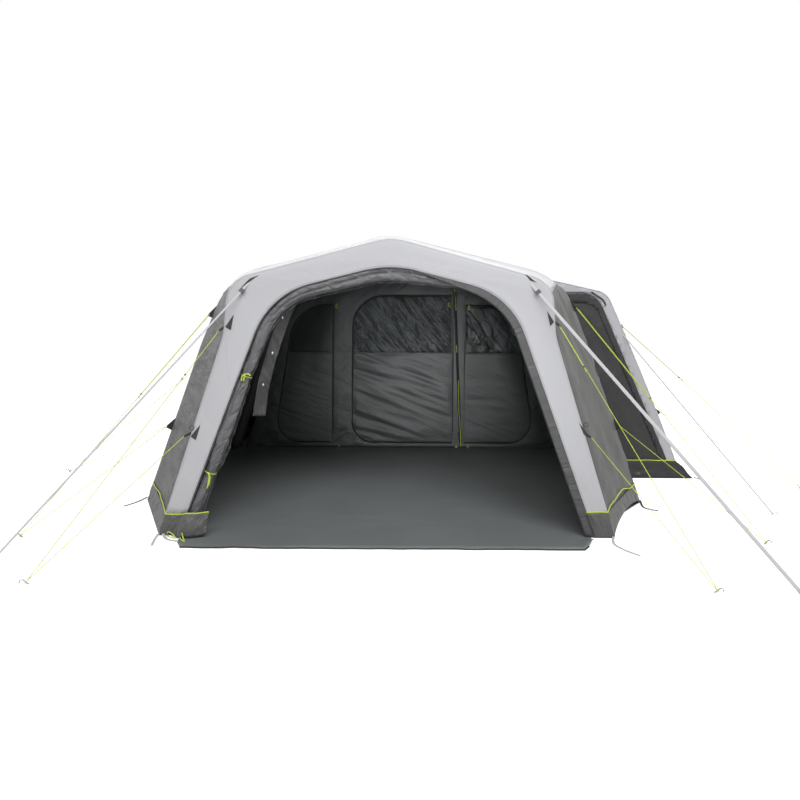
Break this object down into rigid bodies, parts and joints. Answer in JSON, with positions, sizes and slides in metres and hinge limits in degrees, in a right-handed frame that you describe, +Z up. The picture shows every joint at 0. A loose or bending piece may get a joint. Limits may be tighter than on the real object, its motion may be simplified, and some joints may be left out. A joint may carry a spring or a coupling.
{
  "type": "inflatable tent",
  "caption": "Tunnel-shaped family tent on air beams with a wide front door, a side annex with its own door, an inner tent, a groundsheet and guylines.",
  "frame": {"origin": "on the ground under the middle of the main tent's length, on its centre line, at the groundsheet's underside", "axes": "+Z up, -Y out of the front doorway, +X toward the side annex"},
  "size_m": [6.8609, 5.4547, 2.22],
  "materials": {
    "light_fabric": "coated plain-weave polyester, pale grey, matt",
    "dark_fabric": "coated plain-weave polyester, dark grey, matt",
    "inner_fabric": "light breathable polyester, near black, slightly glossy",
    "ground_fabric": "heavy coated sheet, dark grey, slightly glossy",
    "beam_fabric": "woven sleeve over an air bladder, dark grey",
    "black_plastic": "moulded, satin",
    "steel": "drawn and bent rod",
    "grey_webbing": "woven webbing, light grey",
    "lime_cord": "braided cord, lime"
  },
  "bodies": {
    "tent": {"air_beam_annex": "beam_fabric", "air_beam_front": "beam_fabric", "air_beam_inner": "beam_fabric", "air_beam_middle": "beam_fabric", "air_beam_rear": "beam_fabric", "annex_front_frame": "light_fabric", "annex_roof": "light_fabric", "annex_skirt": "dark_fabric", "annex_strap": "grey_webbing", "annex_wall": "dark_fabric", "door_zip_strip": "dark_fabric", "front_panel": "light_fabric", "groundsheet": "ground_fabric", "guyline_annex_right": "lime_cord", "guyline_front_left": "lime_cord", "guyline_front_right": "lime_cord", "guyline_middle_left": "lime_cord", "guyline_middle_right": "lime_cord", "guyline_rear_left": "lime_cord", "inner_tent_body": "inner_fabric", "inner_tent_front_wall": "inner_fabric", "mud_skirt_main": "dark_fabric", "mud_skirt_right": "dark_fabric", "peg_annex_right": "steel", "peg_annex_strap": "steel", "peg_front_left": "steel", "peg_front_right": "steel", "peg_middle_left": "steel", "peg_middle_right": "steel", "peg_rear_left": "steel", "rear_panel": "dark_fabric", "rolled_front_door": "dark_fabric", "roof_front": "light_fabric", "roof_rear": "light_fabric", "side_panel_front_left": "dark_fabric", "side_panel_front_right": "dark_fabric", "side_panel_rear_left": "dark_fabric", "side_panel_rear_right": "dark_fabric", "storm_strap_left": "grey_webbing", "storm_strap_right": "grey_webbing"},
    "valve_cap_front": {"valve_cap_front": "black_plastic"},
    "valve_cap_middle": {"valve_cap_middle": "black_plastic"},
    "valve_cap_inner": {"valve_cap_inner": "black_plastic"},
    "valve_cap_rear": {"valve_cap_rear": "black_plastic"},
    "valve_cap_annex": {"valve_cap_annex": "black_plastic"},
    "runner_front_left": {"runner_front_left": "black_plastic"},
    "runner_front_right": {"runner_front_right": "black_plastic"},
    "runner_middle_left": {"runner_middle_left": "black_plastic"},
    "runner_middle_right": {"runner_middle_right": "black_plastic"},
    "runner_rear_left": {"runner_rear_left": "black_plastic"},
    "runner_annex_right": {"runner_annex_right": "black_plastic"},
    "inner_door_left": {"inner_door_left": "inner_fabric"},
    "inner_door_centre": {"inner_door_centre": "inner_fabric"},
    "inner_door_right": {"inner_door_right": "inner_fabric"},
    "annex_door": {"annex_door": "dark_fabric"},
    "rear_vent_flap": {"rear_vent_flap": "dark_fabric"},
    "zip_slider": {"zip_slider": "black_plastic"},
    "strap_buckle_left": {"strap_buckle_left": "black_plastic"},
    "strap_buckle_right": {"strap_buckle_right": "black_plastic"}
  },
  "joints": [
    {"name": "valve_cap_front_hinge", "type": "hinge", "parent": "tent", "child": "valve_cap_front", "pos_m": [-1.39127, -2.11693, 0.40925], "axis": [-0.2671, -0.0959, -0.9589], "range_deg": [0, 95]},
    {"name": "valve_cap_middle_hinge", "type": "hinge", "parent": "tent", "child": "valve_cap_middle", "pos_m": [-1.80005, -1.5207, 0.41535], "axis": [-0.3206, 0, -0.9472], "range_deg": [0, 95]},
    {"name": "valve_cap_inner_hinge", "type": "hinge", "parent": "tent", "child": "valve_cap_inner", "pos_m": [-1.77333, 0.1243, 0.41564], "axis": [-0.3008, 0, -0.9537], "range_deg": [0, 95]},
    {"name": "valve_cap_rear_hinge", "type": "hinge", "parent": "tent", "child": "valve_cap_rear", "pos_m": [-1.57927, 2.03549, 0.40421], "axis": [-0.265, 0.2771, -0.9236], "range_deg": [0, 95]},
    {"name": "valve_cap_annex_hinge", "type": "hinge", "parent": "tent", "child": "valve_cap_annex", "pos_m": [2.46097, -0.78858, 0.42569], "axis": [0.3926, 0, -0.9197], "range_deg": [0, 95]},
    {"name": "runner_front_left_slide", "type": "slide", "parent": "tent", "child": "runner_front_left", "axis": [0.4291, 0.455, 0.7803], "range_m": [0, 0.2]},
    {"name": "runner_front_right_slide", "type": "slide", "parent": "tent", "child": "runner_front_right", "axis": [-0.3758, 0.4762, 0.795], "range_m": [0, 0.2]},
    {"name": "runner_middle_left_slide", "type": "slide", "parent": "tent", "child": "runner_middle_left", "axis": [0.5016, 0.3779, 0.7782], "range_m": [0, 0.2]},
    {"name": "runner_middle_right_slide", "type": "slide", "parent": "tent", "child": "runner_middle_right", "axis": [-0.5215, 0.3735, 0.7672], "range_m": [0, 0.2]},
    {"name": "runner_rear_left_slide", "type": "slide", "parent": "tent", "child": "runner_rear_left", "axis": [0.6743, 0.3676, 0.6404], "range_m": [0, 0.2]},
    {"name": "runner_annex_right_slide", "type": "slide", "parent": "tent", "child": "runner_annex_right", "axis": [-0.7202, 0.1332, 0.6809], "range_m": [0, 0.2]},
    {"name": "inner_door_left_hinge", "type": "hinge", "parent": "tent", "child": "inner_door_left", "pos_m": [-0.8306, 0.15, 0.0556], "axis": [0, 0, 1], "range_deg": [0, 88]},
    {"name": "inner_door_centre_hinge", "type": "hinge", "parent": "tent", "child": "inner_door_centre", "pos_m": [0.5544, 0.15, 0.0556], "axis": [0, 0, 1], "range_deg": [0, 88]},
    {"name": "inner_door_right_hinge", "type": "hinge", "parent": "tent", "child": "inner_door_right", "pos_m": [0.6856, 0.15, 0.0556], "axis": [0, 0, -1], "range_deg": [0, 88]},
    {"name": "annex_door_hinge", "type": "hinge", "parent": "tent", "child": "annex_door", "pos_m": [2.02061, -0.934, 0.1756], "axis": [0.3127, 0, -0.9499], "range_deg": [0, 80]},
    {"name": "rear_vent_flap_hinge", "type": "hinge", "parent": "tent", "child": "rear_vent_flap", "pos_m": [0, 1.91845, 1.3], "axis": [1, 0, 0], "range_deg": [0, 60]},
    {"name": "zip_slider_slide", "type": "slide", "parent": "tent", "child": "zip_slider", "axis": [0, 0, 1], "range_m": [0, 1.55]},
    {"name": "strap_buckle_left_slide", "type": "slide", "parent": "tent", "child": "strap_buckle_left", "axis": [-0.5445, -0.3726, -0.7515], "range_m": [0, 0.4]},
    {"name": "strap_buckle_right_slide", "type": "slide", "parent": "tent", "child": "strap_buckle_right", "axis": [0.5602, -0.3864, -0.7327], "range_m": [0, 0.4]}
  ]
}
